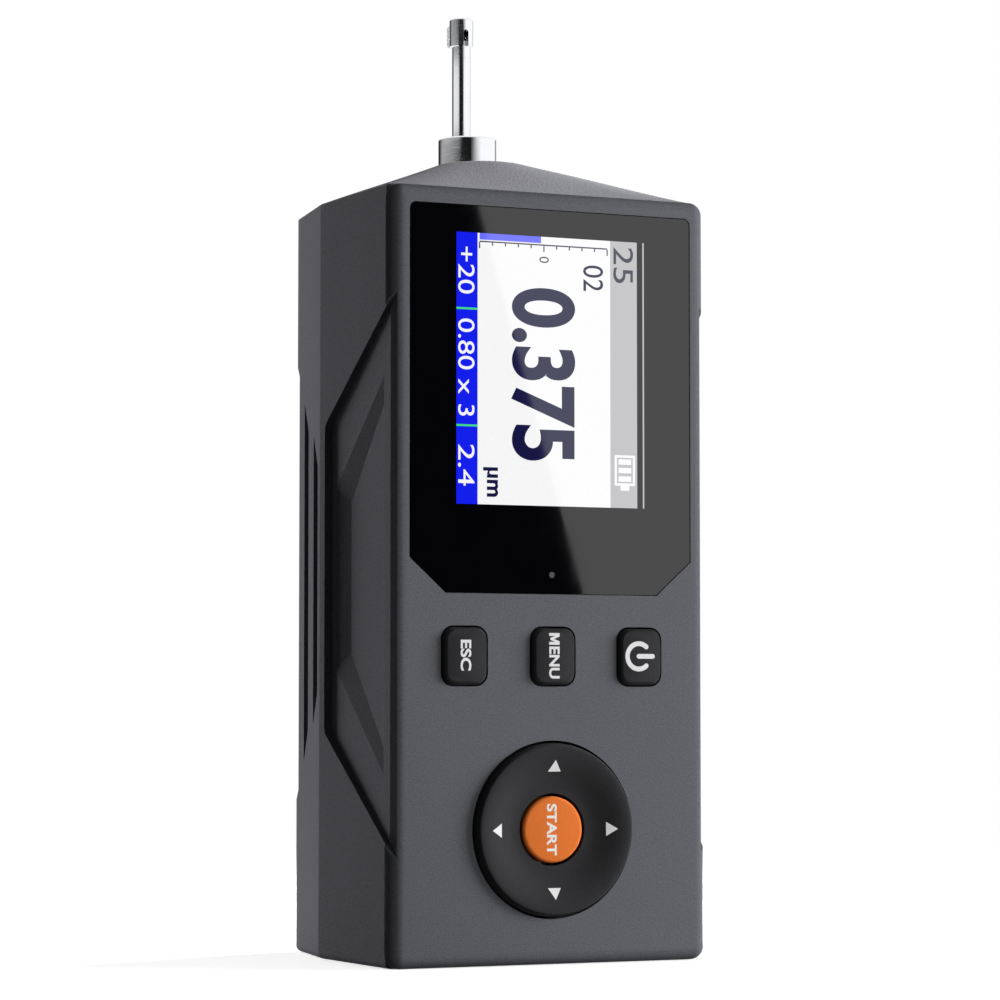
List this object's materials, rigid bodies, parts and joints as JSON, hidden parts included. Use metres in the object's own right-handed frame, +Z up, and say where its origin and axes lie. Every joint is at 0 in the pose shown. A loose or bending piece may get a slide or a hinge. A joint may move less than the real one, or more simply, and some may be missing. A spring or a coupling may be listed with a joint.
{
  "type": "surface roughness tester",
  "caption": "Hand-held surface roughness tester: upright case with a display, keys, a rocking ring and a start button, and a motor-driven stylus pickup on top.",
  "frame": {"origin": "centre of the base", "axes": "+X to the right of someone facing the display, +Y from the display to the back, +Z up"},
  "size_m": [0.0566, 0.0494, 0.1576],
  "materials": {
    "front_cover": "fine matte",
    "rear_housing": "fine leather grain",
    "display_lens": "gloss",
    "light_pipe": "clear moulded",
    "lcd_module": "display panel",
    "lcd_tray": "moulded",
    "esc_key": "moulded",
    "menu_key": "moulded",
    "power_key": "moulded",
    "nav_ring": "satin",
    "nav_gimbal": "stamped",
    "nav_base": "moulded",
    "start_button": "satin",
    "keypad_mat": "silicone",
    "dome_switches": "stamped",
    "main_board": "coated board",
    "board_chips": "moulded",
    "usb_socket": "formed",
    "battery": "wrapped",
    "case_screws": "plain",
    "drive_frame": "plain",
    "guide_rods": "ground",
    "drive_motor": "drawn can",
    "gearhead": "turned",
    "motor_shaft": "ground",
    "screw_coupling": "turned",
    "lead_screw": "ground",
    "screw_bush": "turned",
    "screw_nut": "turned",
    "carriage": "moulded",
    "pickup_socket": "moulded",
    "pickup_plug": "moulded",
    "pickup_tube": "polished",
    "pickup_nose": "polished",
    "sensor_coils": "wound wire",
    "nose_collar": "polished",
    "nose_tube": "polished",
    "skid_head": "polished",
    "skid": "polished runner",
    "pivot_pin": "ground",
    "stylus_lever": "drawn",
    "stylus_tip": "pointed"
  },
  "bodies": {
    "case": {"front_cover": "front_cover", "rear_housing": "rear_housing", "display_lens": "display_lens", "light_pipe": "light_pipe", "lcd_module": "lcd_module", "lcd_tray": "lcd_tray", "nav_base": "nav_base", "keypad_mat": "keypad_mat", "dome_switches": "dome_switches", "main_board": "main_board", "board_chips": "board_chips", "usb_socket": "usb_socket", "battery": "battery", "case_screws": "case_screws", "drive_frame": "drive_frame", "guide_rods": "guide_rods", "drive_motor": "drive_motor", "gearhead": "gearhead", "screw_bush": "screw_bush", "nose_collar": "nose_collar"},
    "esc_key": {"esc_key": "esc_key"},
    "menu_key": {"menu_key": "menu_key"},
    "power_key": {"power_key": "power_key"},
    "start_button": {"start_button": "start_button"},
    "nav_gimbal": {"nav_gimbal": "nav_gimbal"},
    "nav_ring": {"nav_ring": "nav_ring"},
    "carriage": {"carriage": "carriage", "screw_nut": "screw_nut", "pickup_socket": "pickup_socket", "pickup_plug": "pickup_plug", "pickup_tube": "pickup_tube", "pickup_nose": "pickup_nose", "sensor_coils": "sensor_coils", "nose_tube": "nose_tube", "skid_head": "skid_head", "skid": "skid", "pivot_pin": "pivot_pin"},
    "stylus": {"stylus_lever": "stylus_lever", "stylus_tip": "stylus_tip"},
    "lead_screw": {"motor_shaft": "motor_shaft", "screw_coupling": "screw_coupling", "lead_screw": "lead_screw"}
  },
  "joints": [
    {"name": "esc_press", "type": "slide", "parent": "case", "child": "esc_key", "axis": [0, 1, 0], "range_m": [0, 0.0006], "stiffness_N_per_m": 2500},
    {"name": "menu_press", "type": "slide", "parent": "case", "child": "menu_key", "axis": [0, 1, 0], "range_m": [0, 0.0006], "stiffness_N_per_m": 2500},
    {"name": "power_press", "type": "slide", "parent": "case", "child": "power_key", "axis": [0, 1, 0], "range_m": [0, 0.0006], "stiffness_N_per_m": 2500},
    {"name": "start_press", "type": "slide", "parent": "case", "child": "start_button", "axis": [0, 1, 0], "range_m": [0, 0.0006], "stiffness_N_per_m": 2500},
    {"name": "nav_tilt_up_down", "type": "hinge", "parent": "case", "child": "nav_gimbal", "pos_m": [0, -0.0176, 0.0214], "axis": [1, 0, 0], "range_deg": [-2, 2], "stiffness_Nm_per_rad": 0.6},
    {"name": "nav_tilt_left_right", "type": "hinge", "parent": "nav_gimbal", "child": "nav_ring", "pos_m": [0, -0.0176, 0.0214], "axis": [0, 0, 1], "range_deg": [-2, 2], "stiffness_Nm_per_rad": 0.6},
    {"name": "pickup_traverse", "type": "slide", "parent": "case", "child": "carriage", "axis": [0, 0, 1], "range_m": [-0.0145, 0.0035]},
    {"name": "screw_turn", "type": "hinge", "parent": "case", "child": "lead_screw", "pos_m": [-0.0085, 0.0083, 0.06], "axis": [0, 0, 1], "range_deg": [-2611, 631]},
    {"name": "stylus_tilt", "type": "hinge", "parent": "carriage", "child": "stylus", "pos_m": [0, 0.0099, 0.125], "axis": [1, 0, 0], "range_deg": [-0.35, 0.35], "stiffness_Nm_per_rad": 0.02}
  ],
  "couplings": [
    {"joint": "screw_turn", "follows": "pickup_traverse", "rad_per_m": 3141.6}
  ]
}
